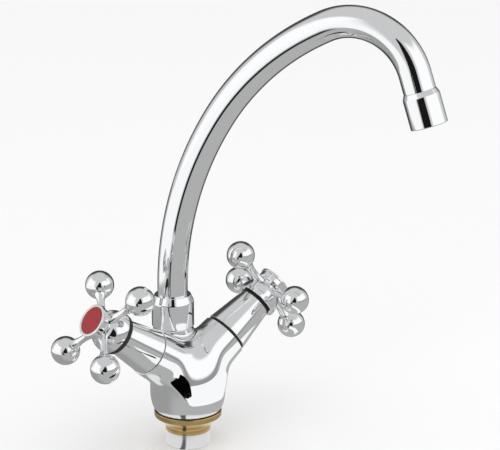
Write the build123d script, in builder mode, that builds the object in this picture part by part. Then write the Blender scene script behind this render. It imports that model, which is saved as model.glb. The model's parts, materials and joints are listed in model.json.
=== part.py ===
"""Two handle kitchen faucet: Y-shaped cast body, two cross handles, swan-neck swivel spout.

Millimetres. +Z is up, the user stands at -Y, hot is on the -X side and cold on the +X side.
The origin is on the base axis, where the shank leaves the lower edge of the base ring.
"""
from build123d import *
from math import cos, radians, sin
import os

os.makedirs("parts", exist_ok=True)

# ---------------------------------------------------------------- driving dimensions
# base: shank, conical base ring and the gasket under the body
shank_radius = 13.75
shank_bottom_z = -9.5
shank_chamfer = 1.0
shank_neck_radius = 12.4        # narrower upper part, screwed up into the body
shank_neck_top_z = 26.0
ring_sleeve_radius = 14.4       # lower, nearly straight end of the base ring
ring_sleeve_height = 3.8
ring_rim_radius = 21.2
ring_rim_z = 9.8
ring_rim_height = 3.3
ring_fit = 0.1                  # gap between the ring's bore and the shank neck
gasket_height = 1.0
gasket_radius = 19.8
hose_thread_radius = 4.5        # M10x1 hose tails
hose_thread_depth = 14.0
hose_spacing = 12.4
hose_offset_y = 4.0
stud_thread_radius = 3.4        # M8 fixing stud
stud_thread_depth = 16.0
stud_offset_y = -6.6
thread_lead_in = 0.6

# cast body
body_bottom_radius = 20.5
belly_radius = 23.6
belly_z = 29.0
belly_shoulder_radius = 17.0
belly_shoulder_z = 50.0
belly_top_z = 55.0
belly_lower_lean = 14.0         # degrees from upright at the bottom edge
valve_tilt = 35.5               # valve axes above the horizontal
valve_cross_z = 36.5
arm_ring_radius = 15.0          # body end of each valve arm, at the seam
arm_root_radius = 17.0
seam_s = 34.8                   # distances s run along a valve axis from the crossing
seat_s = 13.1
arm_bore_radius = 10.5
seat_bore_radius = 5.0
body_blend = 8.0
seat_bore_depth = 6.0

# spout seat, nut and foot, on an axis behind the base axis
spout_y = 16.0
neck_wall = 2.3                 # round the socket
neck_root_narrowing = 6.6       # the seat's foot starts narrow inside the belly
neck_root_z = 34.0
neck_swell_narrowing = 1.0
neck_swell_z = 47.0
neck_waist_lip = 0.8            # the seat's foot is this much wider than its thread
neck_blend = 1.6
neck_face_z = 63.8
neck_top_z = 72.0
nut_bottom_z = 64.4
nut_top_z = 84.8
nut_wall = 1.4
nut_crown_narrowing = 1.9
nut_shoulder_z = 79.0
nut_bottom_chamfer = 0.6
nut_thread_gap = 0.1
nut_crown_height = 4.6
nut_crown_bow = 0.55
socket_bottom_z = 54.0
foot_fit = 0.06                 # the foot turns in the socket
foot_bottom_z = 55.0
foot_flange_step = 0.6          # the flange is smaller than the seat it turns on
foot_flange_height = 2.6
foot_flange_lift = 0.1          # gap under the flange, filled with grease
foot_bore_radius = 6.5
foot_spigot_height = 7.0
slip_ring_fit = 0.06            # slip ring in the nut's bore
slip_ring_gap = 0.1
slip_ring_slot = 1.2
oring_section = 1.9
oring_sides = 8                 # the round section is drawn with flats
oring_clear = 0.05              # how far an o-ring stays clear of its walls
oring_groove_width = 2.4
oring_z = (58.5, 64.0)

# spout tube: a straight rise, three tangent arcs and a short straight end
tube_radius = 9.5
tube_wall = 1.2
tube_rise = 13.7
tube_lower_bend_radius = 208.0
tube_lower_bend_angle = 33.0
tube_upper_bend_radius = 162.0
tube_upper_bend_angle = 32.0
tube_crook_radius = 40.0
tube_crook_angle = 97.0
tube_end_run = 9.0
spout_yaw = 30.0                # the spout stands turned toward the cold side
tube_hole_fit = 0.08            # nut and tube

# aerator at the spout's end
tip_length = 7.5                # threaded end piece soldered into the tube
tip_thread_step = 0.6           # the thread is smaller than the tube
tip_insert = 6.0
tip_collar_height = 0.8
thread_gap = 0.08
housing_gap = 0.1
aerator_radius = 10.9
aerator_length = 20.6
aerator_shoulder = 3.0
aerator_lip_radius = 8.0
aerator_lip_height = 1.6
aerator_top_radius = 9.6
aerator_edge = 0.6
insert_radius = 9.4
insert_edge = 0.4
insert_cup_radius = 7.6
insert_cup_depth = 3.0
insert_face_radius = 7.9
insert_face_proud = 1.0
insert_hole_radius = 0.75       # to the corners of a six-sided hole
insert_hole_depth = 6.0
insert_hole_pitch = 2.2
insert_centre_offset = 0.2      # the first circle is this much under one pitch
insert_hole_rows = 3
insert_holes_inside = 6         # on the first circle, and as many more on each next one
washer_height = 1.4
washer_bore_radius = 6.2

# headwork (the valve cartridge) in each arm
headwork_fit = 0.1
seal_height = 3.0
seal_radius = 8.6
seal_bore_radius = 5.2
disc_height = 2.4
disc_radius = 8.0
turning_disc_radius = 7.9
disc_slot_width = 4.0           # the spindle's tongue drives the turning disc
disc_slot_depth = 1.0
disc_slot_fit = 0.05
driver_tongue_inset = 1.0       # the tongue stops short of the driver's rim
disc_port_radius = 2.3
disc_port_offset = 4.2
driver_height = 3.4
chamber_radius = 8.2
driver_radius = 7.8
chamber_lift = 0.2              # gap over the driver
headwork_flange_radius = 11.9
headwork_flange_height = 2.4
headwork_hex = 17.0             # across flats
headwork_hex_height = 8.0
headwork_neck_radius = 6.6
headwork_neck_end_s = 65.5
headwork_hex_overlap = 1.0      # the hexagon reaches into the neck's wall
washer_fibre_height = 0.9
spindle_radius = 3.95
spindle_bore_radius = 4.0
spindle_end_s = 78.1
spindle_groove_radius = 2.9
spindle_groove_s = 39.1
spindle_groove_width = 1.6
spindle_oring_radius = 3.93
circlip_height = 0.9
circlip_radius = 5.6
circlip_groove_radius = 3.3
circlip_lift = 0.1
circlip_grip = 0.6              # its mouth is narrower than the groove

# tapered sleeve (bonnet cover) between arm and handle
sleeve_gap = 0.9                # shadow gap at the seam
sleeve_ring_radius = 14.4
sleeve_end_radius = 10.0
sleeve_end_s = 67.7
sleeve_wall = 1.3
sleeve_collar_s = 61.7          # inside collar that is screwed on the headwork neck
sleeve_collar_gap = 0.05
seam_ring_radius = 13.6         # rubber ring that shows in the seam

# cross handle
ball_plane_s = 74.9
ball_circle = 31.8
ball_radius = 8.9
hot_first_angle = 47.1                 # where the first ball stands, from the upper side
cold_first_angle = 4.0
skirt_rim_s = 64.9
skirt_rim_radius = 13.4
skirt_rim_height = 1.6
skirt_wall = 1.4
skirt_shoulder_radius = 10.6
skirt_shoulder_s = 73.7
hub_waist_radius = 8.6
hub_waist_s = 76.5
hub_radius = 9.9
hub_flare_s = 79.5
hub_face_s = 82.5
handle_boss_radius = 6.0
handle_boss_s = 69.3
handle_web_s = 79.3
handle_web_floor_s = 74.1
hub_pocket_radius = 8.6
arm_root_at = 5.0
arm_hub_radius = 3.6            # arms: radii and where along the arm they apply
arm_hub_at = 9.0
arm_waist_radius = 2.2
arm_waist_at = 15.0
arm_ball_radius = 3.9
screw_head_radius = 3.4
screw_head_height = 2.2
screw_radius = 2.0
screw_length = 9.0
screw_drive_radius = 1.4
screw_drive_depth = 1.2
screw_bore_run_out = 1.0        # the bore goes on past the screw's end
boss_recess = 0.5               # the boss is cut back a little wider than itself

# index button
button_radius = 10.5
button_height = 1.5
button_recess_radius = 8.8
button_recess_depth = 0.8
button_edge = 0.6
button_plug_radius = 8.5
button_plug_depth = 2.0
button_plug_wall = 1.2
index_radius = 8.7
index_crown = 0.35

# ---------------------------------------------------------------- worked-out places
body_bottom_z = ring_rim_z + ring_rim_height + gasket_height
spout_turn = radians(spout_yaw)
spout_dir = Vector(sin(spout_turn), -cos(spout_turn), 0)
base_axis = Axis.Z
spout_axis = Axis((0, spout_y, 0), (0, 0, 1))
crossing = Vector(0, 0, valve_cross_z)
socket_radius = tube_radius
foot_radius = socket_radius - foot_fit
neck_radius = socket_radius + neck_wall
foot_flange_z = neck_top_z + foot_flange_lift
foot_flange_radius = neck_radius - foot_flange_step
tube_start_z = foot_flange_z + foot_flange_height
neck_waist_radius = neck_radius + neck_waist_lip
neck_swell_radius = neck_waist_radius - neck_swell_narrowing
neck_root_radius = neck_waist_radius - neck_root_narrowing
tube_hole = tube_radius + tube_hole_fit
thread_hole = neck_radius + nut_thread_gap
slip_ring_radius = thread_hole - slip_ring_fit
nut_radius = thread_hole + nut_wall
nut_top_radius = nut_radius - nut_crown_narrowing
tube_bends = (
    (tube_lower_bend_radius, tube_lower_bend_angle),
    (tube_upper_bend_radius, tube_upper_bend_angle),
    (tube_crook_radius, tube_crook_angle),
)
tip_radius = tube_radius - tip_thread_step


def save(piece, name):
    """Label a finished piece and write its STEP file."""
    piece.part.label = name
    export_step(piece.part, f"parts/{name}.step")


def ring_profile(plane, inner, outer, low, high):
    """A plain rectangular section for a turned ring, on a plane of (radius, height)."""
    with BuildSketch(plane) as section:
        with BuildLine():
            Polyline((inner, low), (outer, low), (outer, high), (inner, high), close=True)
        make_face()
    return section.sketch


# planes whose local X is a radius and local Y runs along the turning axis
base_plane = Plane(origin=(0, 0, 0), x_dir=(1, 0, 0), z_dir=(0, -1, 0))
spout_plane = Plane(origin=(0, spout_y, 0), x_dir=(1, 0, 0), z_dir=(0, -1, 0))


class Valve:
    """The axis of one valve, with the planes that its pieces are drawn on."""

    def __init__(self, name, hand, first_ball):
        tilt = radians(valve_tilt)
        self.name = name
        self.hand = hand
        self.first_ball = first_ball
        self.out = Vector(hand * cos(tilt), 0, sin(tilt))
        self.rise = Vector(-hand * sin(tilt), 0, cos(tilt))
        self.side = Vector(0, 1, 0)
        self.axis = Axis(crossing, self.out)
        under = self.rise * -1
        self.plane = Plane(origin=crossing, x_dir=under, z_dir=under.cross(self.out))

    def at(self, s):
        """A plane square to the valve axis at distance s from the crossing."""
        return Plane(origin=crossing + self.out * s, x_dir=self.side, z_dir=self.out)


valves = (Valve("hot", -1, hot_first_angle), Valve("cold", 1, cold_first_angle))


# ---------------------------------------------------------------- base
with BuildPart() as shank:
    with BuildSketch(base_plane):
        with BuildLine():
            Polyline(
                (0, shank_bottom_z),
                (shank_radius - shank_chamfer, shank_bottom_z),
                (shank_radius, shank_bottom_z + shank_chamfer),
                (shank_radius, 0),
                (shank_neck_radius, 0),
                (shank_neck_radius, shank_neck_top_z),
                (0, shank_neck_top_z),
                close=True,
            )
        make_face()
    revolve(axis=base_axis)
    underside = Plane(origin=(0, 0, shank_bottom_z), x_dir=(1, 0, 0), z_dir=(0, 0, -1))
    with BuildSketch(underside):
        with Locations((-hose_spacing / 2, -hose_offset_y), (hose_spacing / 2, -hose_offset_y)):
            Circle(hose_thread_radius)
    extrude(amount=-hose_thread_depth, mode=Mode.SUBTRACT)
    with BuildSketch(underside):
        with Locations((0, -stud_offset_y)):
            Circle(stud_thread_radius)
    extrude(amount=-stud_thread_depth, mode=Mode.SUBTRACT)
save(shank, "shank")

with BuildPart() as base_ring:
    with BuildSketch(base_plane):
        with BuildLine():
            ring_top_z = ring_rim_z + ring_rim_height
            Polyline(
                (shank_neck_radius + ring_fit, 0),
                (ring_sleeve_radius, 0),
                (ring_sleeve_radius, ring_sleeve_height),
                (ring_rim_radius, ring_rim_z),
                (ring_rim_radius, ring_top_z),
                (shank_neck_radius + ring_fit, ring_top_z),
                close=True,
            )
        make_face()
    revolve(axis=base_axis)
save(base_ring, "base_ring")

with BuildPart() as base_gasket:
    add(ring_profile(base_plane, shank_neck_radius, gasket_radius, ring_top_z, body_bottom_z))
    revolve(axis=base_axis)
save(base_gasket, "base_gasket")

# ---------------------------------------------------------------- cast body
with BuildPart() as body:
    # belly, turned about the base axis
    with BuildSketch(base_plane):
        with BuildLine():
            Spline(
                (body_bottom_radius, body_bottom_z),
                (belly_radius, belly_z),
                (belly_shoulder_radius, belly_shoulder_z),
                (0, belly_top_z),
                tangents=(
                    (sin(radians(belly_lower_lean)), cos(radians(belly_lower_lean))),
                    (-1, 0),
                ),
            )
            Line((0, belly_top_z), (0, body_bottom_z))
            Line((0, body_bottom_z), (body_bottom_radius, body_bottom_z))
        make_face()
    revolve(axis=base_axis)
    # the two valve arms, blended into the belly and into each other
    for valve in valves:
        with BuildSketch(valve.plane):
            with BuildLine():
                Polyline(
                    (0, 0), (arm_root_radius, 0), (arm_ring_radius, seam_s), (0, seam_s), close=True
                )
            make_face()
        revolve(axis=valve.axis)
    fillet(body.edges().filter_by(GeomType.BSPLINE), body_blend)
    # the spout seat stands behind the crotch of the arms and swells out of the belly
    with BuildSketch(spout_plane):
        with BuildLine():
            Line((0, neck_root_z), (neck_root_radius, neck_root_z))
            Spline(
                (neck_root_radius, neck_root_z),
                (neck_swell_radius, neck_swell_z),
                (neck_waist_radius, neck_face_z),
                tangents=((0.7, 1), (0, 1)),
            )
            Line((neck_waist_radius, neck_face_z), (neck_radius, neck_face_z))
            Line((neck_radius, neck_face_z), (neck_radius, neck_top_z))
            Line((neck_radius, neck_top_z), (0, neck_top_z))
            Line((0, neck_top_z), (0, neck_root_z))
        make_face()
    revolve(axis=spout_axis)
    seat_joints = []
    for edge in body.edges().filter_by(GeomType.BSPLINE):
        reach = [edge.position_at(u / 10) - Vector(0, spout_y, 0) for u in (1, 3, 5, 7, 9)]
        radii = [(p.X**2 + p.Y**2) ** 0.5 for p in reach]
        if min(radii) > neck_root_radius and max(radii) < neck_waist_radius + neck_blend / 5:
            seat_joints.append(edge)
    fillet(seat_joints, neck_blend)
    # socket for the spout's foot
    with BuildSketch(Plane.XY.offset(socket_bottom_z)):
        with Locations((0, spout_y)):
            Circle(socket_radius)
    extrude(amount=neck_top_z - socket_bottom_z, mode=Mode.SUBTRACT)
    # threaded bore for each headwork, with the valve seat at its floor
    for valve in valves:
        with BuildSketch(valve.at(seat_s)):
            Circle(arm_bore_radius)
        extrude(amount=seam_s - seat_s, mode=Mode.SUBTRACT)
        with BuildSketch(valve.at(seat_s)):
            Circle(seat_bore_radius)
        extrude(amount=-seat_bore_depth, mode=Mode.SUBTRACT)
    # threaded bore for the shank
    with BuildSketch(Plane.XY.offset(body_bottom_z)):
        Circle(shank_neck_radius)
    extrude(amount=shank_neck_top_z - body_bottom_z, mode=Mode.SUBTRACT)
save(body, "body")

# ---------------------------------------------------------------- spout seat
with BuildPart() as spout_nut:
    with BuildSketch(spout_plane):
        with BuildLine():
            Polyline(
                (thread_hole, nut_bottom_z),
                (nut_radius - nut_bottom_chamfer, nut_bottom_z),
                (nut_radius, nut_bottom_z + nut_bottom_chamfer),
                (nut_radius, nut_top_z - nut_crown_height),
            )
            ThreePointArc(
                (nut_radius, nut_top_z - nut_crown_height),
                (nut_radius - nut_crown_bow, nut_top_z - nut_crown_height / 2),
                (nut_top_radius, nut_top_z),
            )
            Polyline(
                (nut_top_radius, nut_top_z),
                (tube_hole, nut_top_z),
                (tube_hole, nut_shoulder_z),
                (thread_hole, nut_shoulder_z),
                (thread_hole, nut_bottom_z),
            )
        make_face()
    revolve(axis=spout_axis)
save(spout_nut, "spout_nut")

with BuildPart() as slip_ring:
    slip_low = tube_start_z + slip_ring_gap
    slip_high = nut_shoulder_z
    add(ring_profile(spout_plane, tube_hole, slip_ring_radius, slip_low, slip_high))
    revolve(axis=spout_axis)
    with BuildSketch(Plane.XY.offset(slip_low)):
        with Locations((0, spout_y + neck_radius)):
            Rectangle(slip_ring_slot, neck_radius)
    extrude(amount=slip_high - slip_low, mode=Mode.SUBTRACT)
save(slip_ring, "slip_ring")

with BuildPart() as spout_foot:
    with BuildSketch(spout_plane):
        with BuildLine():
            groove_radius = socket_radius - oring_section
            half_groove = oring_groove_width / 2
            low_ring_z, high_ring_z = oring_z
            spigot_radius = tube_radius - tube_wall
            Polyline(
                (foot_bore_radius, foot_bottom_z),
                (foot_radius, foot_bottom_z),
                (foot_radius, low_ring_z - half_groove),
                (groove_radius, low_ring_z - half_groove),
                (groove_radius, low_ring_z + half_groove),
                (foot_radius, low_ring_z + half_groove),
                (foot_radius, high_ring_z - half_groove),
                (groove_radius, high_ring_z - half_groove),
                (groove_radius, high_ring_z + half_groove),
                (foot_radius, high_ring_z + half_groove),
                (foot_radius, foot_flange_z),
                (foot_flange_radius, foot_flange_z),
                (foot_flange_radius, tube_start_z),
                (spigot_radius, tube_start_z),
                (spigot_radius, tube_start_z + foot_spigot_height),
                (foot_bore_radius, tube_start_z + foot_spigot_height),
                close=True,
            )
        make_face()
    revolve(axis=spout_axis)
save(spout_foot, "spout_foot")

for level, ring_z in (("lower", low_ring_z), ("upper", high_ring_z)):
    with BuildPart() as oring:
        with BuildSketch(spout_plane):
            with Locations((socket_radius - oring_section / 2, ring_z)):
                RegularPolygon(oring_section / 2 - oring_clear, oring_sides)
        revolve(axis=spout_axis)
    save(oring, f"spout_oring_{level}")

# ---------------------------------------------------------------- spout tube
spout_side = spout_dir.cross(Vector(0, 0, 1))       # square to the plane of the swan neck
bend_dir = spout_side * -1                          # the bends turn about this direction


def along(heading):
    """The direction in the swan neck's plane that stands this many degrees above level."""
    return spout_dir * cos(radians(heading)) + Vector(0, 0, sin(radians(heading)))


def tube_section(point, heading):
    """The tube's ring section, square to its centre line."""
    with BuildSketch(Plane(origin=point, x_dir=spout_side, z_dir=along(heading))) as section:
        Circle(tube_radius)
        Circle(tube_radius - tube_wall, mode=Mode.SUBTRACT)
    return section.sketch


with BuildPart() as spout_tube:
    tube_point = Vector(0, spout_y, tube_start_z)
    tube_heading = 90.0
    add(tube_section(tube_point, tube_heading))
    extrude(amount=tube_rise, dir=along(tube_heading))
    tube_point = tube_point + along(tube_heading) * tube_rise
    for bend_radius, bend_angle in tube_bends:
        add(tube_section(tube_point, tube_heading))
        bend_centre = tube_point + along(tube_heading - 90) * bend_radius
        revolve(axis=Axis(bend_centre, bend_dir), revolution_arc=bend_angle)
        tube_point = bend_centre + along(tube_heading + 90 - bend_angle) * bend_radius
        tube_heading -= bend_angle
    add(tube_section(tube_point, tube_heading))
    extrude(amount=tube_end_run, dir=along(tube_heading))
    tube_point = tube_point + along(tube_heading) * tube_end_run
save(spout_tube, "spout_tube")

# ---------------------------------------------------------------- spout end and aerator
tip_dir = along(tube_heading)
tip_axis = Axis(tube_point, tip_dir)
# local X is a radius, local Y runs out of the spout
tip_plane = Plane(origin=tube_point, x_dir=spout_side, z_dir=spout_side.cross(tip_dir))

with BuildPart() as spout_tip:
    tip_spigot = tube_radius - tube_wall
    with BuildSketch(tip_plane):
        with BuildLine():
            Polyline(
                (washer_bore_radius, -tip_insert),
                (tip_spigot, -tip_insert),
                (tip_spigot, 0),
                (tube_radius, 0),
                (tube_radius, tip_collar_height),
                (tip_radius, tip_collar_height),
                (tip_radius, tip_length),
                (washer_bore_radius, tip_length),
                close=True,
            )
        make_face()
    revolve(axis=tip_axis)
save(spout_tip, "spout_tip")

housing_top = tip_collar_height + housing_gap
housing_end = housing_top + aerator_length
with BuildPart() as aerator_housing:
    with BuildSketch(tip_plane):
        with BuildLine():
            Polyline(
                (tip_radius + thread_gap, housing_top),
                (aerator_top_radius, housing_top),
                (aerator_radius, housing_top + aerator_shoulder),
                (aerator_radius, housing_end - aerator_edge),
                (aerator_radius - aerator_edge, housing_end),
                (aerator_lip_radius, housing_end),
                (aerator_lip_radius, housing_end - aerator_lip_height),
                (insert_radius, housing_end - aerator_lip_height),
                (insert_radius, tip_length + washer_height),
                (tip_radius + thread_gap, tip_length + washer_height),
                close=True,
            )
        make_face()
    revolve(axis=tip_axis)
save(aerator_housing, "aerator_housing")

with BuildPart() as aerator_washer:
    add(ring_profile(tip_plane, washer_bore_radius, tip_radius, tip_length, tip_length + washer_height))
    revolve(axis=tip_axis)
save(aerator_washer, "aerator_washer")

with BuildPart() as aerator_insert:
    insert_low = tip_length + washer_height
    insert_high = housing_end - aerator_lip_height
    with BuildSketch(tip_plane):
        with BuildLine():
            Polyline(
                (0, insert_low + insert_cup_depth),
                (insert_cup_radius, insert_low + insert_cup_depth),
                (insert_cup_radius, insert_low),
                (tip_radius, insert_low),
                (insert_radius, insert_low + insert_edge),
                (insert_radius, insert_high),
                (insert_face_radius, insert_high),
                (insert_face_radius, insert_high + insert_face_proud),
                (0, insert_high + insert_face_proud),
                close=True,
            )
        make_face()
    revolve(axis=tip_axis)
    # honeycomb outlet: rings of six-sided holes
    outlet = Plane(
        origin=tube_point + tip_dir * (insert_high + insert_face_proud),
        x_dir=spout_side,
        z_dir=tip_dir,
    )
    for row in range(1, insert_hole_rows + 1):
        with BuildSketch(outlet):
            with PolarLocations(
                row * insert_hole_pitch - insert_centre_offset, row * insert_holes_inside
            ):
                RegularPolygon(insert_hole_radius, 6)
        extrude(amount=-insert_hole_depth, mode=Mode.SUBTRACT)
save(aerator_insert, "aerator_insert")

# ---------------------------------------------------------------- valves
def turned(plane, axis, points):
    """A solid of revolution from a closed outline of (radius, distance) points."""
    with BuildPart() as piece:
        with BuildSketch(plane):
            with BuildLine():
                Polyline(*points, close=True)
            make_face()
        revolve(axis=axis)
    return piece


hex_radius = headwork_hex / 2 / cos(radians(30))
seal_end_s = seat_s + seal_height
fixed_end_s = seal_end_s + disc_height
turning_end_s = fixed_end_s + disc_height
driver_end_s = turning_end_s + driver_height
chamber_end_s = driver_end_s + chamber_lift
flange_s = seam_s + washer_fibre_height
hex_s = flange_s + headwork_flange_height
neck_s = hex_s + headwork_hex_height
sleeve_s = seam_s + sleeve_gap
clip_s = headwork_neck_end_s + circlip_lift
button_s = hub_face_s
button_end_s = button_s + button_height

for valve in valves:
    # -- fixed pieces in the arm
    seat_seal = turned(
        valve.plane,
        valve.axis,
        [
            (seal_bore_radius, seat_s),
            (seal_radius, seat_s),
            (seal_radius, seal_end_s),
            (seal_bore_radius, seal_end_s),
        ],
    )
    save(seat_seal, f"{valve.name}_seat_seal")

    with BuildPart() as fixed_disc:
        with BuildSketch(valve.at(seal_end_s)):
            Circle(disc_radius)
            with PolarLocations(disc_port_offset, 2):
                Circle(disc_port_radius, mode=Mode.SUBTRACT)
        extrude(amount=disc_height)
    save(fixed_disc, f"{valve.name}_fixed_disc")

    with BuildPart() as headwork:
        with BuildSketch(valve.plane):
            with BuildLine():
                Polyline(
                    (chamber_radius, seal_end_s),
                    (arm_bore_radius - headwork_fit, seal_end_s),
                    (arm_bore_radius - headwork_fit, flange_s),
                    (headwork_flange_radius, flange_s),
                    (headwork_flange_radius, hex_s),
                    (headwork_neck_radius, hex_s),
                    (headwork_neck_radius, headwork_neck_end_s),
                    (spindle_bore_radius, headwork_neck_end_s),
                    (spindle_bore_radius, chamber_end_s),
                    (chamber_radius, chamber_end_s),
                    close=True,
                )
            make_face()
        revolve(axis=valve.axis)
        with BuildSketch(valve.at(hex_s)):
            RegularPolygon(hex_radius, 6)
            Circle(headwork_neck_radius - headwork_hex_overlap, mode=Mode.SUBTRACT)
        extrude(amount=headwork_hex_height)
    save(headwork, f"{valve.name}_headwork")

    with BuildPart() as headwork_washer:
        add(ring_profile(valve.plane, arm_bore_radius, headwork_flange_radius, seam_s, flange_s))
        revolve(axis=valve.axis)
    save(headwork_washer, f"{valve.name}_headwork_washer")

    with BuildPart() as seam_ring:
        add(
            ring_profile(
                valve.plane, headwork_flange_radius + headwork_fit, seam_ring_radius, seam_s, sleeve_s
            )
        )
        revolve(axis=valve.axis)
    save(seam_ring, f"{valve.name}_seam_ring")

    sleeve_slope = (sleeve_ring_radius - sleeve_end_radius) / (sleeve_end_s - sleeve_s)
    collar_wall_radius = (
        sleeve_ring_radius - sleeve_slope * (sleeve_collar_s - sleeve_s) - sleeve_wall
    )
    sleeve = turned(
        valve.plane,
        valve.axis,
        [
            (sleeve_ring_radius - sleeve_wall, sleeve_s),
            (sleeve_ring_radius, sleeve_s),
            (sleeve_end_radius, sleeve_end_s),
            (headwork_neck_radius + sleeve_collar_gap, sleeve_end_s),
            (headwork_neck_radius + sleeve_collar_gap, sleeve_collar_s),
            (collar_wall_radius, sleeve_collar_s),
        ],
    )
    save(sleeve, f"{valve.name}_sleeve")

    # -- turning pieces
    with BuildPart() as turning_disc:
        with BuildSketch(valve.at(fixed_end_s)):
            Circle(turning_disc_radius)
            with PolarLocations(disc_port_offset, 2, start_angle=90):
                Circle(disc_port_radius, mode=Mode.SUBTRACT)
        extrude(amount=disc_height)
        with BuildSketch(valve.at(turning_end_s)):
            Rectangle(3 * turning_disc_radius, disc_slot_width + 2 * disc_slot_fit)
        extrude(amount=-disc_slot_depth, mode=Mode.SUBTRACT)
    save(turning_disc, f"{valve.name}_turning_disc")

    with BuildPart() as spindle:
        groove_half = spindle_groove_width / 2
        with BuildSketch(valve.plane):
            with BuildLine():
                Polyline(
                    (0, turning_end_s),
                    (driver_radius, turning_end_s),
                    (driver_radius, driver_end_s),
                    (spindle_radius, driver_end_s),
                    (spindle_radius, spindle_groove_s - groove_half),
                    (spindle_groove_radius, spindle_groove_s - groove_half),
                    (spindle_groove_radius, spindle_groove_s + groove_half),
                    (spindle_radius, spindle_groove_s + groove_half),
                    (spindle_radius, clip_s),
                    (circlip_groove_radius, clip_s),
                    (circlip_groove_radius, clip_s + circlip_height),
                    (spindle_radius, clip_s + circlip_height),
                    (spindle_radius, spindle_end_s),
                    (0, spindle_end_s),
                    close=True,
                )
            make_face()
        revolve(axis=valve.axis)
        with BuildSketch(valve.at(turning_end_s)):
            Rectangle(2 * (driver_radius - driver_tongue_inset), disc_slot_width)
        extrude(amount=-(disc_slot_depth - disc_slot_fit))
        with BuildSketch(valve.at(spindle_end_s)):
            Circle(screw_radius)
        extrude(amount=-(screw_length + screw_bore_run_out), mode=Mode.SUBTRACT)
    save(spindle, f"{valve.name}_spindle")

    with BuildPart() as spindle_oring:
        oring_half = (spindle_oring_radius - spindle_groove_radius - disc_slot_fit) / 2
        with BuildSketch(valve.plane):
            with Locations((spindle_oring_radius - oring_half, spindle_groove_s)):
                RegularPolygon(oring_half, oring_sides)
        revolve(axis=valve.axis)
    save(spindle_oring, f"{valve.name}_spindle_oring")

    with BuildPart() as circlip:
        with BuildSketch(valve.at(clip_s)):
            Circle(circlip_radius)
            Circle(circlip_groove_radius, mode=Mode.SUBTRACT)
            with Locations((0, circlip_radius)):
                Rectangle(
                    2 * (circlip_groove_radius - circlip_grip), 2 * circlip_radius, mode=Mode.SUBTRACT
                )
        extrude(amount=circlip_height)
    save(circlip, f"{valve.name}_circlip")

    # -- cross handle
    with BuildPart() as handle:
        with BuildSketch(valve.plane):
            with BuildLine():
                rim_end_s = skirt_rim_s + skirt_rim_height
                Polyline(
                    (hub_radius, hub_flare_s),
                    (hub_radius, hub_face_s),
                    (0, hub_face_s),
                    (0, skirt_rim_s),
                    (skirt_rim_radius, skirt_rim_s),
                    (skirt_rim_radius, rim_end_s),
                )
                Spline(
                    (skirt_rim_radius, rim_end_s),
                    (skirt_shoulder_radius, skirt_shoulder_s),
                    (hub_waist_radius, hub_waist_s),
                    (hub_radius, hub_flare_s),
                    tangents=((0, 1), (0, 1)),
                )
            make_face()
        revolve(axis=valve.axis)
        hub_centre = crossing + valve.out * ball_plane_s
        for quarter in range(4):
            angle = radians(valve.first_ball + 90 * quarter)
            reach = valve.rise * cos(angle) + valve.side * sin(angle)
            arm_plane = Plane(origin=hub_centre, x_dir=reach, z_dir=reach.cross(valve.out))
            ball_start = ball_circle - (ball_radius**2 - arm_ball_radius**2) ** 0.5
            with BuildSketch(arm_plane):
                with BuildLine():
                    Polyline(
                        (ball_circle + ball_radius, 0),
                        (arm_root_at, 0),
                        (arm_root_at, arm_hub_radius),
                        (arm_hub_at, arm_hub_radius),
                    )
                    Spline(
                        (arm_hub_at, arm_hub_radius),
                        (arm_waist_at, arm_waist_radius),
                        (ball_start, arm_ball_radius),
                    )
                    ThreePointArc(
                        (ball_start, arm_ball_radius),
                        (ball_circle, ball_radius),
                        (ball_circle + ball_radius, 0),
                    )
                make_face()
            revolve(axis=Axis(hub_centre, reach))
        # hollow under the skirt, round the boss
        with BuildSketch(valve.plane):
            with BuildLine():
                Polyline(
                    (handle_boss_radius, skirt_rim_s),
                    (skirt_rim_radius - skirt_wall, skirt_rim_s),
                    (skirt_rim_radius - skirt_wall, rim_end_s + skirt_wall),
                    (hub_waist_radius, handle_web_floor_s - skirt_wall),
                    (handle_boss_radius, handle_web_floor_s),
                    close=True,
                )
            make_face()
        revolve(axis=valve.axis, mode=Mode.SUBTRACT)
        with BuildSketch(valve.at(skirt_rim_s)):
            Circle(handle_boss_radius + boss_recess)
        extrude(amount=handle_boss_s - skirt_rim_s, mode=Mode.SUBTRACT)
        # spindle bore, screw hole and the pocket for the index button
        with BuildSketch(valve.at(skirt_rim_s)):
            Circle(spindle_radius)
        extrude(amount=spindle_end_s - skirt_rim_s, mode=Mode.SUBTRACT)
        with BuildSketch(valve.at(spindle_end_s)):
            Circle(screw_radius)
        extrude(amount=handle_web_s - spindle_end_s, mode=Mode.SUBTRACT)
        with BuildSketch(valve.at(handle_web_s)):
            Circle(hub_pocket_radius)
        extrude(amount=hub_face_s - handle_web_s, mode=Mode.SUBTRACT)
    save(handle, f"{valve.name}_handle")

    with BuildPart() as handle_screw:
        add(
            turned(
                valve.plane,
                valve.axis,
                [
                    (0, handle_web_s + screw_head_height - screw_length),
                    (screw_radius, handle_web_s + screw_head_height - screw_length),
                    (screw_radius, handle_web_s),
                    (screw_head_radius, handle_web_s),
                    (screw_head_radius, handle_web_s + screw_head_height),
                    (0, handle_web_s + screw_head_height),
                ],
            )
        )
        with BuildSketch(valve.at(handle_web_s + screw_head_height)):
            RegularPolygon(screw_drive_radius, 6)
        extrude(amount=-screw_drive_depth, mode=Mode.SUBTRACT)
    save(handle_screw, f"{valve.name}_handle_screw")

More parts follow.
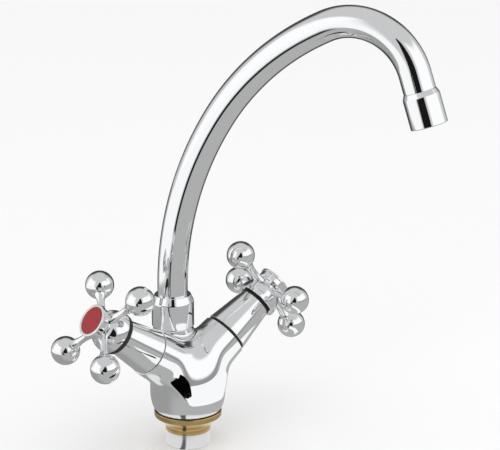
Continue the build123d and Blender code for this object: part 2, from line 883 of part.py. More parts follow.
    index_button = turned(
        valve.plane,
        valve.axis,
        [
            (0, button_s),
            (button_plug_radius - button_plug_wall, button_s),
            (button_plug_radius - button_plug_wall, button_s - button_plug_depth),
            (button_plug_radius, button_s - button_plug_depth),
            (button_plug_radius, button_s),
            (button_radius, button_s),
            (button_radius, button_end_s - button_edge),
            (button_radius - button_edge, button_end_s),
            (button_recess_radius, button_end_s),
            (button_recess_radius, button_end_s - button_recess_depth),
            (0, button_end_s - button_recess_depth),
        ],
    )
    save(index_button, f"{valve.name}_index_button")

    with BuildPart() as index_disc:
        with BuildSketch(valve.plane):
            with BuildLine():
                disc_low = button_end_s - button_recess_depth
                Polyline(
                    (0, button_end_s + index_crown),
                    (0, disc_low),
                    (index_radius, disc_low),
                    (index_radius, button_end_s),
                )
                Spline(
                    (index_radius, button_end_s),
                    (0, button_end_s + index_crown),
                    tangents=((-1, 0.12), (-1, 0)),
                )
            make_face()
        revolve(axis=valve.axis)
    save(index_disc, f"{valve.name}_index_disc")
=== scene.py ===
import json
import math

import bmesh
import bpy
import numpy as np
from mathutils import Matrix, Vector


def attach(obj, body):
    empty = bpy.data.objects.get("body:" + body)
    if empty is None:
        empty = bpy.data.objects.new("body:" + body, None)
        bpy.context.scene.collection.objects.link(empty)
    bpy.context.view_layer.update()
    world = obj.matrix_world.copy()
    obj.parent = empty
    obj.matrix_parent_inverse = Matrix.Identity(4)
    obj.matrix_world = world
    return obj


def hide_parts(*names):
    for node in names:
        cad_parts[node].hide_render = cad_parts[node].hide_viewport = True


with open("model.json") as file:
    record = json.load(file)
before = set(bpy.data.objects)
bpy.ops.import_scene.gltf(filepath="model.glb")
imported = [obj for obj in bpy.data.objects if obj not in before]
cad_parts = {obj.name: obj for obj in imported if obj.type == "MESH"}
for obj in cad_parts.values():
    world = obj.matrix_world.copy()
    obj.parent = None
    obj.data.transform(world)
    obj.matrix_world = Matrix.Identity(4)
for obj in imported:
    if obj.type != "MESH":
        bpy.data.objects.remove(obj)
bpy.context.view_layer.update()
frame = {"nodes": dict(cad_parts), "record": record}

MM = 0.001
UP = Vector((0, 0, 1))

# ------------------------------------------------------------------ places, in millimetres
TILT = math.radians(35.5)           # the valve axes rise so far above level
CROSSING = Vector((0, 0, 36.5))     # and cross here
SHANK_R, SHANK_END = 13.75, -9.5
RING_BORE, RING_NECK_R, RING_R, RING_TOP = 12.6, 14.4, 21.2, 13.1
BODY_FOOT = 14.1                    # underside of the cast body

SPOUT_Y = 16.0                      # the swivel axis stands behind the base axis
YAW = math.radians(30)              # the spout is shown turned to the cold side
SPOUT_DIR = Vector((math.sin(YAW), -math.cos(YAW), 0))
SPOUT_SIDE = SPOUT_DIR.cross(UP)
SPOT_FACE_R, SPOT_FACE_Z = 13.6, 63.8
COLLAR_R, COLLAR_BORE, COLLAR_FOOT, COLLAR_TOP = 13.3, 11.9, 64.4, 84.8
COLLAR_LIP_BORE, COLLAR_LIP = 9.58, 79.0
TUBE_R = 9.5
TUBE_START = 74.7
TUBE_RISE = 13.7
TUBE_BENDS = ((208.0, 33.0), (162.0, 32.0), (40.0, 97.0))       # radius, degrees
TUBE_END = 9.0
AERATOR_R, AERATOR_START, AERATOR_END = 10.9, 0.9, 21.5
AERATOR_BORE, AERATOR_MOUTH_R = 8.98, 8.0

# distances along a valve axis, from the crossing
SLEEVE_TOP = 67.7
SLEEVE_FOOT_R, SLEEVE_TOP_R, SLEEVE_BORE = 14.4, 10.0, 6.65
JOINT_RING_BORE, JOINT_RING_R = 12.3, 13.6
BELL_FOOT, BELL_R, BELL_BORE = 64.9, 13.4, 12.0
HUB_TOP, HUB_R, HUB_BORE = 82.5, 9.9, 8.6
BALL_PLANE = 74.9
BALL_CIRCLE = 31.8
BALL_R = 8.9
BALL_NECK_R = 3.9                   # where an arm runs into its ball
BUTTON_R, BUTTON_TOP = 10.5, 84.0
DISC_R, DISC_FOOT, DISC_TOP = 8.7, 83.2, 84.35


class Valve:
    def __init__(self, name, hand, first, seam, gap_shade_ring):
        self.name, self.body = name, name + "_valve"
        self.first = first                      # degrees round to the first arm
        self.seam, self.gap_shade_ring = seam, gap_shade_ring
        self.out = Vector((hand * math.cos(TILT), 0, math.sin(TILT)))
        self.rise = Vector((-hand * math.sin(TILT), 0, math.cos(TILT)))
        self.axes = (CROSSING, self.rise, self.out)


# the joint ring is wider on the cold side, partly to stand in for the shade in its groove; the black ring
# behind each bell is painted shade for the dark gap between bell and sleeve, larger on the hot side
VALVES = (
    Valve("hot", -1, 47.1, (34.8, 35.05),
          [(9.9, 61.4), (12.7, 61.4, 0.5), (13.2, 63.2, 0.4), (13.2, 64.8), (9.9, 64.8)]),
    Valve("cold", 1, 4.0, (34.3, 36.3),
          [(9.9, 63.2), (10.95, 63.2, 0.3), (10.6, 65.6, 0.3), (9.9, 65.6)]),
)
BASE = (Vector((0, 0, 0)), Vector((1, 0, 0)), UP)           # origin, radial and axial direction
SPOUT = (Vector((0, SPOUT_Y, 0)), Vector((1, 0, 0)), UP)


# ------------------------------------------------------------------ mesh tools
ARC_STEP = math.radians(11)         # longest step round a rounded corner
FLAT = math.radians(88)             # half angles above this are no corner


def rounded(points):
    """Outline points (r, s) or (r, s, radius): corners with a radius become short arcs."""
    out, n = [], len(points)
    for i, p in enumerate(points):
        here = Vector(p[:2])
        radius = p[2] if len(p) > 2 else 0
        if not radius or i in (0, n - 1):
            out.append(here)
            continue
        back = (Vector(points[i - 1][:2]) - here).normalized()
        on = (Vector(points[i + 1][:2]) - here).normalized()
        half = math.acos(max(-1, min(1, back.dot(on)))) / 2
        if half > FLAT:
            out.append(here)
            continue
        run = radius / math.tan(half)
        centre = here + (back + on).normalized() * (radius / math.sin(half))
        a, b = here + back * run - centre, here + on * run - centre
        sweep = math.pi - 2 * half
        steps = max(3, round(sweep / ARC_STEP))
        turn = math.copysign(sweep, a.x * b.y - a.y * b.x)
        for k in range(steps + 1):
            t = turn * k / steps
            out.append(centre + Vector((a.x * math.cos(t) - a.y * math.sin(t),
                                        a.x * math.sin(t) + a.y * math.cos(t))))
    return out


def smooth_line(knots, steps, start, end):
    """A curve through (r, s) knots, with its directions at both ends."""
    p = [Vector(k) for k in knots]
    tangents = [Vector(start).normalized()]
    for before, here, after in zip(p, p[1:], p[2:]):
        la, lb = (here - before).length, (after - here).length
        tangents.append(((here - before) * (lb / la) + (after - here) * (la / lb)).normalized())
    tangents.append(Vector(end).normalized())
    out = [p[0]]
    for i in range(len(p) - 1):
        chord = (p[i + 1] - p[i]).length
        ta, tb = tangents[i] * chord, tangents[i + 1] * chord
        for k in range(1, steps + 1):
            u = k / steps
            out.append(p[i] * (2 * u**3 - 3 * u**2 + 1) + ta * (u**3 - 2 * u**2 + u)
                       + p[i + 1] * (3 * u**2 - 2 * u**3) + tb * (u**3 - u**2))
    return [tuple(v) for v in out]


def spin_outline(bm, outline, axes, steps):
    """Turns an outline of (radius, distance) about an axis, in metres."""
    origin, radial, along = axes
    verts = [bm.verts.new((origin + radial * q[0] + along * q[1]) * MM) for q in outline]
    edges = [bm.edges.new((a, b)) for a, b in zip(verts, verts[1:])]
    bmesh.ops.spin(bm, geom=verts + edges, cent=origin * MM, axis=along, angle=2 * math.pi,
                   steps=steps, use_merge=True)


def add_object(name, bm, material):
    mesh = bpy.data.meshes.new(name)
    bm.to_mesh(mesh)
    bm.free()
    obj = bpy.data.objects.new(name, mesh)
    bpy.context.scene.collection.objects.link(obj)
    mesh.materials.append(material)
    return obj


def finish_mesh(bm, name, body, nodes, slot, sharp=35):
    """Makes a visible piece that rides on a body and stands for CAD nodes."""
    bmesh.ops.remove_doubles(bm, verts=bm.verts, dist=2e-7)
    bmesh.ops.recalc_face_normals(bm, faces=bm.faces)
    for f in bm.faces:
        f.smooth = True
    limit = math.radians(sharp)
    for e in bm.edges:
        e.smooth = len(e.link_faces) == 2 and e.calc_face_angle(0) < limit
    obj = add_object(name, bm, SLOT_MATERIAL[slot])
    weighted = obj.modifiers.new("weighted", "WEIGHTED_NORMAL")
    weighted.keep_sharp = True
    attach(obj, body)
    if nodes:
        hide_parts(*nodes)


def subtract(bm, cutter):
    """Cuts one closed mesh out of another with the exact solver, and gives back a new mesh."""
    made = []
    for source in (bm, cutter):
        mesh = bpy.data.meshes.new("cut")
        source.to_mesh(mesh)
        source.free()
        obj = bpy.data.objects.new("cut", mesh)
        bpy.context.scene.collection.objects.link(obj)
        made.append(obj)
    cut = made[0].modifiers.new("cut", "BOOLEAN")
    cut.operation, cut.solver, cut.object = "DIFFERENCE", "EXACT", made[1]
    depsgraph = bpy.context.evaluated_depsgraph_get()
    result = bpy.data.meshes.new_from_object(made[0].evaluated_get(depsgraph))
    out = bmesh.new()
    out.from_mesh(result)
    for obj in made:
        mesh = obj.data
        bpy.data.objects.remove(obj)
        bpy.data.meshes.remove(mesh)
    bpy.data.meshes.remove(result)
    return out


def lathe(name, outline, axes, body, nodes, slot):
    """A turned piece from its closed outline of (r, s) or (r, s, radius) points."""
    bm = bmesh.new()
    spin_outline(bm, rounded(outline + [outline[0]]), axes, 128)
    finish_mesh(bm, name, body, nodes, slot)


# ------------------------------------------------------------------ materials
def base_material(name, color, metallic, roughness):
    mat = bpy.data.materials.new(name)
    mat.use_nodes = True
    tree = mat.node_tree
    shader = tree.nodes["Principled BSDF"]
    shader.inputs["Base Color"].default_value = (*color, 1)
    shader.inputs["Metallic"].default_value = metallic
    shader.inputs["Roughness"].default_value = roughness
    coords = tree.nodes.new("ShaderNodeTexCoord")
    return mat, tree, shader, coords.outputs["Object"]


def noise(tree, vector, scale, detail=3.0, rough=0.5):
    node = tree.nodes.new("ShaderNodeTexNoise")
    node.inputs["Scale"].default_value = scale
    node.inputs["Detail"].default_value = detail
    node.inputs["Roughness"].default_value = rough
    tree.links.new(vector, node.inputs["Vector"])
    return node.outputs["Fac"]


def spread(tree, value, low, high):
    """Stretches the middle of a noise over a range."""
    node = tree.nodes.new("ShaderNodeMapRange")
    for key, v in (("From Min", 0.3), ("From Max", 0.7), ("To Min", low), ("To Max", high)):
        node.inputs[key].default_value = v
    tree.links.new(value, node.inputs["Value"])
    return node.outputs["Result"]


def bump(tree, shader, height, strength, distance):
    node = tree.nodes.new("ShaderNodeBump")
    node.inputs["Strength"].default_value = strength
    node.inputs["Distance"].default_value = distance
    tree.links.new(height, node.inputs["Height"])
    tree.links.new(node.outputs["Normal"], shader.inputs["Normal"])


def metal(name, color, rough_low, rough_high, wave=0.0, grain=0.0):
    mat, tree, shader, where = base_material(name, color, 1.0, rough_low)
    # faint haze and wipe marks: the polish isn't equally sharp everywhere
    haze = noise(tree, where, 90, 4, 0.6)
    tree.links.new(spread(tree, haze, rough_low, rough_high), shader.inputs["Roughness"])
    if wave:
        bump(tree, shader, noise(tree, where, 70, 2, 0.4), wave, 0.0004)
    if grain:
        bump(tree, shader, noise(tree, where, 2600, 3, 0.6), grain, 0.00003)
    return mat


def plain(name, color, low, high, grain_scale, strength, coat=0.0):
    mat, tree, shader, where = base_material(name, color, 0.0, low)
    tree.links.new(spread(tree, noise(tree, where, grain_scale / 6, 3), low, high),
                   shader.inputs["Roughness"])
    mix = tree.nodes.new("ShaderNodeMix")
    mix.data_type = "RGBA"
    mix.inputs["A"].default_value = (*color, 1)
    mix.inputs["B"].default_value = (*[c * 0.82 for c in color], 1)
    cloud = spread(tree, noise(tree, where, grain_scale / 3, 4), 0, 1)
    tree.links.new(cloud, mix.inputs["Factor"])
    tree.links.new(mix.outputs["Result"], shader.inputs["Base Color"])
    bump(tree, shader, noise(tree, where, grain_scale, 3), strength, 0.00005)
    shader.inputs["Coat Weight"].default_value = coat
    shader.inputs["Coat Roughness"].default_value = 0.03
    return mat


SLOT_MATERIAL = {
    "chrome": metal("chrome_plate", (0.86, 0.865, 0.875), 0.02, 0.06, wave=0.03),
    "shank_metal": metal("plated_shank", (0.80, 0.80, 0.80), 0.14, 0.24, grain=0.15),
    "polished_brass": metal("gold_ring", (0.60, 0.43, 0.19), 0.12, 0.22, grain=0.1),
    "raw_brass": metal("machined_brass", (0.70, 0.54, 0.27), 0.22, 0.36, grain=0.3),
    "screw_steel": metal("plain_steel", (0.55, 0.55, 0.56), 0.25, 0.4, grain=0.2),
    "rubber": plain("black_rubber", (0.012, 0.012, 0.013), 0.5, 0.7, 1800, 0.3),
    "fibre": plain("red_fibre", (0.30, 0.07, 0.045), 0.6, 0.8, 2500, 0.5),
    "ceramic": plain("lapped_ceramic", (0.82, 0.81, 0.76), 0.18, 0.3, 900, 0.05),
    "slip_plastic": plain("natural_acetal", (0.80, 0.80, 0.75), 0.35, 0.5, 900, 0.1),
    "insert_plastic": plain("insert_plastic", (0.30, 0.31, 0.32), 0.3, 0.45, 1200, 0.1),
    "index_red": plain("red_enamel", (0.35, 0.003, 0.010), 0.34, 0.44, 700, 0.06, coat=0.05),
    "index_blue": plain("blue_enamel", (0.006, 0.05, 0.42), 0.34, 0.44, 700, 0.06, coat=0.12),
}
for row in frame["record"]["subparts"]:
    node = frame["nodes"][row["node"]]
    node.data.materials.clear()
    node.data.materials.append(SLOT_MATERIAL[row["material_slot"]])


# ------------------------------------------------------------------ cast body
def profile_field(line):
    """Signed distance to a closed outline of (r, s) points, on a fine grid, as a lookup."""
    line = np.array(line, float)
    margin, step = 14, 0.35
    lo = np.array([-4.0, line[:, 1].min() - margin])
    hi = np.array([line[:, 0].max() + 22, line[:, 1].max() + margin])
    nx, ny = (int(v) + 2 for v in (hi - lo) / step)
    gx, gy = np.meshgrid(lo[0] + step * np.arange(nx), lo[1] + step * np.arange(ny), indexing="ij")
    points = np.stack([np.abs(gx).ravel(), gy.ravel()], 1)
    best = np.full(len(points), 1e9)
    inside = np.zeros(len(points), bool)
    for a, b in zip(line, np.roll(line, -1, 0)):
        d = b - a
        if a[0] > 1e-6 or b[0] > 1e-6:      # an edge on the axis bounds nothing
            t = np.clip(((points - a) @ d) / max(d @ d, 1e-12), 0, 1)
            best = np.minimum(best, ((points - a - t[:, None] * d) ** 2).sum(1))
        crosses = (a[1] > points[:, 1]) != (b[1] > points[:, 1])
        with np.errstate(divide="ignore", invalid="ignore"):
            x = a[0] + (points[:, 1] - a[1]) * d[0] / d[1]
        inside ^= crosses & (points[:, 0] < x)
    grid = (np.sqrt(best) * np.where(inside, -1, 1)).reshape(nx, ny)

    def look(r, s):
        x = np.clip((r - lo[0]) / step, 0, nx - 1.001)
        y = np.clip((s - lo[1]) / step, 0, ny - 1.001)
        i, j = x.astype(int), y.astype(int)
        u, v = x - i, y - j
        return (grid[i, j] * (1 - u) * (1 - v) + grid[i + 1, j] * u * (1 - v)
                + grid[i, j + 1] * (1 - u) * v + grid[i + 1, j + 1] * u * v)

    return look


FLARE = math.radians(38)            # the belly starts outwards at this angle
belly_side = smooth_line([(20.8, BODY_FOOT), (23.2, 21), (22.0, 32), (13.0, 50), (0, 55)], 24,
                         start=(math.sin(FLARE), math.cos(FLARE)), end=(-1, 0))
belly_field = profile_field([(0, 4), (17.9, 4), *belly_side])
arm_field = profile_field([(0, -16), (17.92, -16), (13.85, 54.8), (0, 54.8)])
neck_side = smooth_line([(6.0, 34), (11.6, 47), (12.6, 63.8)], 16, start=(0.7, 1), end=(0, 1))
neck_field = profile_field([(0, 34), *neck_side, (12.6, 64.6), (0, 64.6)])
ARM_BLEND, BELLY_BLEND, NECK_BLEND = 9.0, 11.0, 5.0


def smooth_min(a, b, k):
    h = np.maximum(k - np.abs(a - b), 0) / k
    return np.minimum(a, b) - h**3 * k / 6


def body_field(p):
    """Rounded union of the belly, the two valve arms and the spout seat, p in millimetres."""
    belly = belly_field(np.hypot(p[:, 0], p[:, 1]), p[:, 2])
    arms = []
    for v in VALVES:
        q = p - np.array(CROSSING)
        s = q @ np.array(v.out)
        arms.append(arm_field(np.sqrt(np.maximum((q**2).sum(1) - s**2, 0)), s))
    neck = neck_field(np.hypot(p[:, 0], p[:, 1] - SPOUT_Y), p[:, 2])
    main = smooth_min(smooth_min(arms[0], arms[1], ARM_BLEND), belly, BELLY_BLEND)
    return smooth_min(main, neck, NECK_BLEND)


def make_body():
    """Pushes a fine ball out to the body's surface, then cuts its three ends and the spout seat."""
    heart = np.array([0.0, 8.0, 42.0])
    bm = bmesh.new()
    bmesh.ops.create_icosphere(bm, subdivisions=7, radius=1.0)
    rays = np.array([v.co for v in bm.verts], float)
    rays /= np.linalg.norm(rays, axis=1)[:, None]
    low, high = np.full(len(rays), 6.0), np.full(len(rays), 58.0)
    for _ in range(26):
        mid = (low + high) / 2
        inside = body_field(heart + rays * mid[:, None]) < 0
        low, high = np.where(inside, mid, low), np.where(inside, high, mid)
    places = (heart + rays * low[:, None]) * MM
    for v, p in zip(bm.verts, places):
        v.co = p
    cuts = [(UP * BODY_FOOT, -UP)] + [(CROSSING + v.out * v.seam[0], v.out) for v in VALVES]
    for point, normal in cuts:
        geom = list(bm.verts) + list(bm.edges) + list(bm.faces)
        bmesh.ops.bisect_plane(bm, geom=geom, dist=1e-7, plane_co=point * MM, plane_no=normal,
                               clear_outer=True)
        rim = [e for e in bm.edges if len(e.link_faces) == 1]
        bmesh.ops.contextual_create(bm, geom=rim)
    bmesh.ops.recalc_face_normals(bm, faces=bm.faces)
    # the seat of the spout is spot-faced flat, a little wider than its collar
    depth = 24
    cutter = bmesh.new()
    bmesh.ops.create_cone(
        cutter, cap_ends=True, segments=160, radius1=SPOT_FACE_R * MM, radius2=SPOT_FACE_R * MM,
        depth=depth * MM, matrix=Matrix.Translation(Vector((0, SPOUT_Y, SPOT_FACE_Z + depth / 2)) * MM))
    finish_mesh(subtract(bm, cutter), "cast_body", "faucet_body", ["body"], "chrome", sharp=50)


make_body()

# ------------------------------------------------------------------ base
lathe("plain_shank", [(0, SHANK_END), (SHANK_R, SHANK_END, 0.9), (SHANK_R, 0), (0, 0)], BASE,
      "faucet_body", ["shank"], "shank_metal")
lathe("cone_ring", [(RING_BORE, 0.0), (RING_NECK_R, 0, 0.25), (RING_NECK_R, 3.8, 1.2), (RING_R, 9.8, 0.5),
                    (RING_R, RING_TOP, 0.45), (RING_BORE, RING_TOP)], BASE,
      "faucet_body", ["base_ring"], "polished_brass")

# ------------------------------------------------------------------ spout seat and tube
lathe("spout_collar", [(COLLAR_BORE, COLLAR_FOOT), (COLLAR_R, COLLAR_FOOT, 0.4), (COLLAR_R, 80.2, 3.0),
                       (11.4, COLLAR_TOP, 0.5), (COLLAR_LIP_BORE, COLLAR_TOP),
                       (COLLAR_LIP_BORE, COLLAR_LIP), (COLLAR_BORE, COLLAR_LIP)], SPOUT,
      "faucet_body", ["spout_nut"], "chrome")
lathe("spout_seat", [(9.5, 63.0), (11.8, 63.0), (11.8, 72.0), (9.5, 72.0)], SPOUT,
      "faucet_body", [], "chrome")


def heading_dir(degrees):
    a = math.radians(degrees)
    return SPOUT_DIR * math.cos(a) + UP * math.sin(a)


def make_tube():
    """The bent tube; gives its end point and direction."""
    bm = bmesh.new()
    point, heading = Vector((0, SPOUT_Y, TUBE_START)), 90.0
    turn = Matrix((SPOUT_SIDE, SPOUT_DIR, UP)).transposed().to_4x4()
    made = bmesh.ops.create_circle(bm, segments=96, radius=TUBE_R * MM,
                                   matrix=Matrix.Translation(point * MM) @ turn)
    rim = list(made["verts"]) + list({e for v in made["verts"] for e in v.link_edges})

    def push(geom, vector):
        edges = [g for g in geom if isinstance(g, bmesh.types.BMEdge)]
        moved = bmesh.ops.extrude_edge_only(bm, edges=edges)["geom"]
        verts = [g for g in moved if isinstance(g, bmesh.types.BMVert)]
        bmesh.ops.translate(bm, verts=verts, vec=vector * MM)
        return verts + [g for g in moved if isinstance(g, bmesh.types.BMEdge)]

    rim = push(rim, UP * TUBE_RISE)
    point = point + UP * TUBE_RISE
    for radius, angle in TUBE_BENDS:
        centre = point + heading_dir(heading - 90) * radius
        steps = max(12, round(radius * math.radians(angle) / 1.8))
        made = bmesh.ops.spin(bm, geom=rim, cent=centre * MM, axis=-SPOUT_SIDE,
                              angle=math.radians(angle), steps=steps)
        rim = made["geom_last"]
        point = centre + heading_dir(heading + 90 - angle) * radius
        heading -= angle
    push(rim, heading_dir(heading) * TUBE_END)
    point = point + heading_dir(heading) * TUBE_END
    finish_mesh(bm, "swan_neck", "spout", ["spout_tube"], "chrome", sharp=60)
    return point, heading_dir(heading)


tip_point, tip_dir = make_tube()
lathe("aerator_shell", [(AERATOR_BORE, AERATOR_START), (9.6, AERATOR_START, 0.3), (AERATOR_R, 3.9, 1.2),
                        (AERATOR_R, AERATOR_END, 0.5), (AERATOR_MOUTH_R, AERATOR_END, 0.3),
                        (AERATOR_MOUTH_R, 19.9), (9.4, 19.9), (9.4, 8.9), (AERATOR_BORE, 8.9)],
      (tip_point, SPOUT_SIDE, tip_dir), "spout", ["aerator_housing"], "chrome")


# ------------------------------------------------------------------ valves and handles
def make_handle(valve):
    """The cross: a bell with its hub, and four arms that end in balls."""
    bm = bmesh.new()
    dome = smooth_line([(BELL_R, 66.0), (12.6, 70.4), (10.4, 74.2), (8.3, 76.6), (HUB_R, 79.5)], 10,
                       start=(0, 1), end=(0, 1))
    bell = [(BELL_BORE, BELL_FOOT, 0.3), (BELL_R, BELL_FOOT, 0.4), *dome, (HUB_R, HUB_TOP, 0.3),
            (HUB_BORE, HUB_TOP), (HUB_BORE, 79.3), (3.95, 79.3), (3.95, 69.3), (6.0, 69.3), (6.0, 74.1),
            (8.6, 72.7), (BELL_BORE, 67.9)]
    spin_outline(bm, rounded(bell + [bell[0]]), valve.axes, 128)
    centre = CROSSING + valve.out * BALL_PLANE
    ball_start = BALL_CIRCLE - math.sqrt(BALL_R**2 - BALL_NECK_R**2)
    arm = smooth_line([(3.6, 8.2), (2.2, 15.0), (BALL_NECK_R, ball_start)], 12,
                      start=(-0.3, 1), end=(0.7, 1))
    ball = [(BALL_R * math.sin(t), BALL_CIRCLE - BALL_R * math.cos(t))
            for t in np.linspace(math.asin(BALL_NECK_R / BALL_R), math.pi, 49)]
    for k in range(4):
        a = math.radians(valve.first + 90 * k)
        reach = valve.rise * math.cos(a) + Vector((0, math.sin(a), 0))
        spin_outline(bm, [Vector(q) for q in arm + ball[1:]], (centre, valve.out, reach), 96)
    finish_mesh(bm, valve.name + "_cross_handle", valve.body, [valve.name + "_handle"], "chrome", sharp=40)


for v in VALVES:
    foot, top = v.seam
    lathe(v.name + "_cone_sleeve", [(13.1, top), (SLEEVE_FOOT_R, top, 0.3), (SLEEVE_TOP_R, SLEEVE_TOP, 0.3),
                                    (SLEEVE_BORE, SLEEVE_TOP), (SLEEVE_BORE, 61.7), (9.4, 61.7)], v.axes,
          "faucet_body", [v.name + "_sleeve"], "chrome")
    lathe(v.name + "_joint_ring", [(JOINT_RING_BORE, foot), (JOINT_RING_R, foot), (JOINT_RING_R, top),
                                   (JOINT_RING_BORE, top)], v.axes,
          "faucet_body", [v.name + "_seam_ring"], "rubber")
    # a black ring behind the bell: painted shade for the dark gap between the bell and the sleeve
    lathe(v.name + "_gap_shade_ring", v.gap_shade_ring, v.axes, "faucet_body", [], "rubber")
    make_handle(v)
    lathe(v.name + "_button", [(0, HUB_TOP), (7.3, HUB_TOP), (7.3, 80.5), (8.5, 80.5), (8.5, HUB_TOP),
                               (BUTTON_R, HUB_TOP, 0.2), (BUTTON_R, BUTTON_TOP, 0.55),
                               (8.8, BUTTON_TOP, 0.2), (8.8, DISC_FOOT), (0, DISC_FOOT)], v.axes,
          v.body, [v.name + "_index_button"], "chrome")
    crown = smooth_line([(DISC_R, BUTTON_TOP), (0, DISC_TOP)], 12, start=(-1, 0.12), end=(-1, 0))
    lathe(v.name + "_enamel_disc", [(0, DISC_FOOT), (DISC_R, DISC_FOOT), *crown], v.axes,
          v.body, [v.name + "_index_disc"], "index_red" if v.name == "hot" else "index_blue")

# ------------------------------------------------------------------ floor and studio cards, in metres
FLOOR_Z, TABLE_Z = -0.0095, -0.0092
FRONT = -35.7                  # bearing of the photographer, clockwise from -Y seen from above
EYE = Vector((0, 0, 0.12))     # the middle of the object, which the tent stands round


def stage_mesh(name, bm, material):
    obj = add_object(name, bm, material)
    return obj


floor_mat = base_material("pale_floor", (0.95, 0.95, 0.95), 0.0, 0.8)[0]
bm = bmesh.new()
bmesh.ops.create_grid(bm, x_segments=1, y_segments=1, size=6)
bmesh.ops.translate(bm, verts=bm.verts, vec=(0, 0, FLOOR_Z))
stage_mesh("floor", bm, floor_mat)


class Paint:
    """Brightness painted on a studio card by place: soft patches laid over a plain level."""

    def __init__(self, name, level):
        self.mat = bpy.data.materials.new(name)
        self.mat.use_nodes = True
        self.tree = self.mat.node_tree
        self.tree.nodes.clear()
        coords = self.tree.nodes.new("ShaderNodeTexCoord")
        apart = self.tree.nodes.new("ShaderNodeSeparateXYZ")
        self.tree.links.new(coords.outputs["Object"], apart.inputs["Vector"])
        self.x, self.y, self.z = (apart.outputs[k] for k in "XYZ")
        self.level = level

    def feed(self, socket, value):
        """Sets a socket to a plain number, or links it."""
        if isinstance(value, (int, float)):
            socket.default_value = value
        else:
            self.tree.links.new(value, socket)

    def math(self, kind, *values):
        node = self.tree.nodes.new("ShaderNodeMath")
        node.operation = kind
        for socket, value in zip(node.inputs, values):
            self.feed(socket, value)
        return node.outputs["Value"]

    def ramp(self, value, start, end, low=0.0, high=1.0):
        node = self.tree.nodes.new("ShaderNodeMapRange")
        node.interpolation_type = "SMOOTHSTEP"
        for key, v in (("From Min", start), ("From Max", end), ("To Min", low), ("To Max", high)):
            node.inputs[key].default_value = v
        self.tree.links.new(value, node.inputs["Value"])
        return node.outputs["Result"]

    def band(self, value, a, b, c, d):
        """1 between b and c, falling to 0 at a and d."""
        return self.math("MULTIPLY", self.ramp(value, a, b), self.ramp(value, c, d, 1.0, 0.0))

    def bearing(self):
        """Degrees round from the photographer, positive to the right of the picture."""
        turn = self.math("ARCTAN2", self.x, self.math("MULTIPLY", self.y, -1.0))
        turn = self.math("SUBTRACT", self.math("MULTIPLY", turn, 180 / math.pi), FRONT)
        return self.math("WRAP", turn, 180.0, -180.0)

    def away(self):
        """Distance from the base axis."""
        return self.math("SQRT", self.math("ADD", self.math("POWER", self.x, 2.0),
                                           self.math("POWER", self.y, 2.0)))

    def patch(self, value, *masks):
        mask = masks[0]
        for m in masks[1:]:
            mask = self.math("MULTIPLY", mask, m)
        node = self.tree.nodes.new("ShaderNodeMix")
        node.inputs["B"].default_value = value
        self.tree.links.new(mask, node.inputs["Factor"])
        self.feed(node.inputs["A"], self.level)
        self.level = node.outputs["Result"]

    def material(self):
        lamp = self.tree.nodes.new("ShaderNodeEmission")
        self.feed(lamp.inputs["Strength"], self.level)
        out = self.tree.nodes.new("ShaderNodeOutputMaterial")
        self.tree.links.new(lamp.outputs["Emission"], out.inputs["Surface"])
        return self.mat


def ground(bearing, distance, height):
    """A place by its bearing from the photographer, its distance and its height."""
    turn = math.radians(FRONT + bearing)
    return Vector((math.sin(turn) * distance, -math.cos(turn) * distance, height))


def card(name, bm, paint):
    """A studio card that only shows in polished surfaces."""
    obj = stage_mesh(name, bm, paint.material())
    obj.visible_camera = obj.visible_diffuse = obj.visible_shadow = False


def leaf(name, corners, paint):
    bm = bmesh.new()
    bmesh.ops.contextual_create(bm, geom=[bm.verts.new(place) for place in corners])
    card(name, bm, paint)


# the tent: a pale dome
paint = Paint("tent_paint", 0.66)
around = paint.bearing()
rise = paint.math("ARCTAN2", paint.math("SUBTRACT", paint.z, EYE.z), paint.away())
rise = paint.math("MULTIPLY", rise, 180 / math.pi)
# bright windows to the left and the right, a grey strip under the right one, and a dim back
paint.patch(1.13, paint.band(around, -118, -100, -46, -28), paint.band(rise, -30, -20, 34, 44))
paint.patch(1.13, paint.band(around, 18, 28, 98, 112), paint.band(rise, 2, 8, 36, 46))
paint.patch(0.34, paint.band(around, 14, 22, 104, 118), paint.band(rise, -12, -8, 2, 6))
paint.patch(0.07, paint.ramp(paint.math("ABSOLUTE", around), 124, 150), paint.band(rise, -40, -30, 34, 56))
bm = bmesh.new()
bmesh.ops.create_uvsphere(bm, u_segments=96, v_segments=48, radius=2.4, matrix=Matrix.Translation(EYE))
bmesh.ops.reverse_faces(bm, faces=bm.faces)
card("tent", bm, paint)

# the table: grey
paint = Paint("table_paint", 0.48)
around, away = paint.bearing(), paint.away()
# darker close by on the left, bright further off on the left, and a dim back
paint.patch(0.36, paint.band(around, -175, -150, -60, -30), paint.ramp(away, 0.34, 0.20))
paint.patch(1.08, paint.band(around, -125, -112, -36, -27), paint.ramp(away, 0.33, 0.37))
paint.patch(0.07, paint.ramp(paint.math("ABSOLUTE", around), 124, 150), paint.ramp(away, 0.12, 0.26))
# the dark line up the tube, the pale shank and the dark line down it
paint.patch(0.01, paint.band(around, -29, -25, -16, -12), paint.ramp(away, 0.24, 0.34))
paint.patch(0.86, paint.ramp(away, 0.039, 0.034))
paint.patch(0.12, paint.band(around, -24, -19, -9, -4), paint.ramp(away, 0.040, 0.036))
bm = bmesh.new()
bmesh.ops.create_circle(bm, cap_ends=True, segments=96, radius=2.2, matrix=Matrix.Translation((0, 0, TABLE_Z)))
card("table", bm, paint)

# a low pale strip close by on the right
bm = bmesh.new()
foot = [bm.verts.new(ground(b, 0.090, -0.009)) for b in range(14, 118, 4)]
edges = [bm.edges.new(pair) for pair in zip(foot, foot[1:])]
moved = bmesh.ops.extrude_edge_only(bm, edges=edges)["geom"]
bmesh.ops.translate(bm, verts=[g for g in moved if isinstance(g, bmesh.types.BMVert)], vec=(0, 0, 0.046))
card("low_strip", bm, Paint("strip_paint", 1.08))

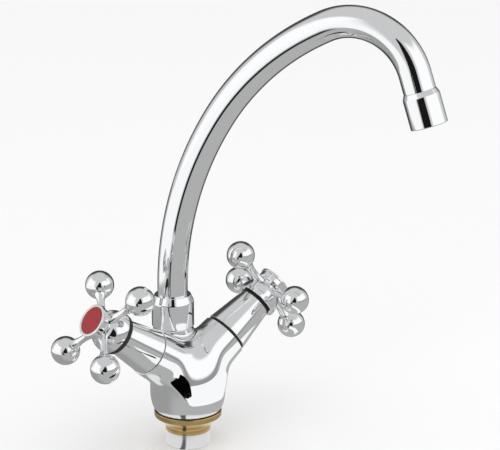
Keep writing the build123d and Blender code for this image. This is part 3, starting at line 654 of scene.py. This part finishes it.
# a small dark leaf in front of the belly, tilted so that the hot sleeve sees it edge on
facing = ground(3, 1, 0)
across = UP.cross(facing)
down = facing * math.cos(math.radians(40)) - UP * math.sin(math.radians(40))
leaf("dark_leaf", [facing * 0.065 + UP * 0.040 + (across * u + down * w) * MM for u, w in (
    (45.0, 60.0), (42.0, 72.0), (24.0, 73.0), (-6.0, 64.0), (-20.0, 48.0), (-25.0, 33.0),
    (-24.0, 18.0), (-15.0, 3.0), (-4.0, -5.0), (8.0, -6.0), (18.0, -2.0), (34.0, 24.0))],
     Paint("leaf_paint", 0.0))

# the dark shape of the photographer behind the camera
leaf("photographer", [ground(b, 1.12, z) for b, z in (
    (-27, -0.009), (-20, 0.06), (-16, 0.16), (-14, 0.36), (-7, 0.60), (-3, 0.84), (2, 0.94), (8, 0.90),
    (13, 0.62), (16, 0.34), (16, 0.10), (12, -0.009))], Paint("dark_paint", 0.01))

# ------------------------------------------------------------------ light and camera
world = bpy.data.worlds.new("studio")
bpy.context.scene.world = world
world.use_nodes = True
sky = world.node_tree.nodes["Background"]
sky.inputs["Color"].default_value = (1, 1, 1, 1)
sky.inputs["Strength"].default_value = 0.91


def soft_sun(name, place, strength, spread_angle):
    light = bpy.data.lights.new(name, "SUN")
    light.energy, light.angle = strength, math.radians(spread_angle)
    obj = bpy.data.objects.new(name, light)
    bpy.context.scene.collection.objects.link(obj)
    obj.rotation_mode = "QUATERNION"
    obj.rotation_quaternion = (-Vector(place)).to_track_quat("-Z", "Y")
    obj.visible_glossy = False


soft_sun("key", (-1.0, -0.7, 2.0), 0.40, 50)
soft_sun("fill", (1.2, -0.9, 1.6), 0.12, 60)

# the photo's view: 35.7 degrees to the left of the front and 15.8 degrees above level
CAMERA_PLACE = Vector((-0.56505, -0.85337, 0.4225))
CAMERA_RIGHT = Vector((0.81208, -0.58354, 0))
CAMERA_UP = Vector((0.15889, 0.22111, 0.96222))
CAMERA_BACK = -Vector((0.56149, 0.78140, -0.27228))
LENS_PX, PHOTO_WIDTH_PX, SENSOR_MM = 1737.5, 500, 36
cam_data = bpy.data.cameras.new("camera")
cam = bpy.data.objects.new("camera", cam_data)
bpy.context.scene.collection.objects.link(cam)
turn = Matrix((CAMERA_RIGHT, CAMERA_UP, CAMERA_BACK)).transposed()
cam.matrix_world = Matrix.Translation(CAMERA_PLACE) @ turn.to_4x4()
cam_data.sensor_width = SENSOR_MM
cam_data.lens = LENS_PX / PHOTO_WIDTH_PX * SENSOR_MM
cam_data.clip_start, cam_data.clip_end = 0.01, 50
bpy.context.scene.camera = cam
bpy.context.scene.view_settings.view_transform = "Standard"
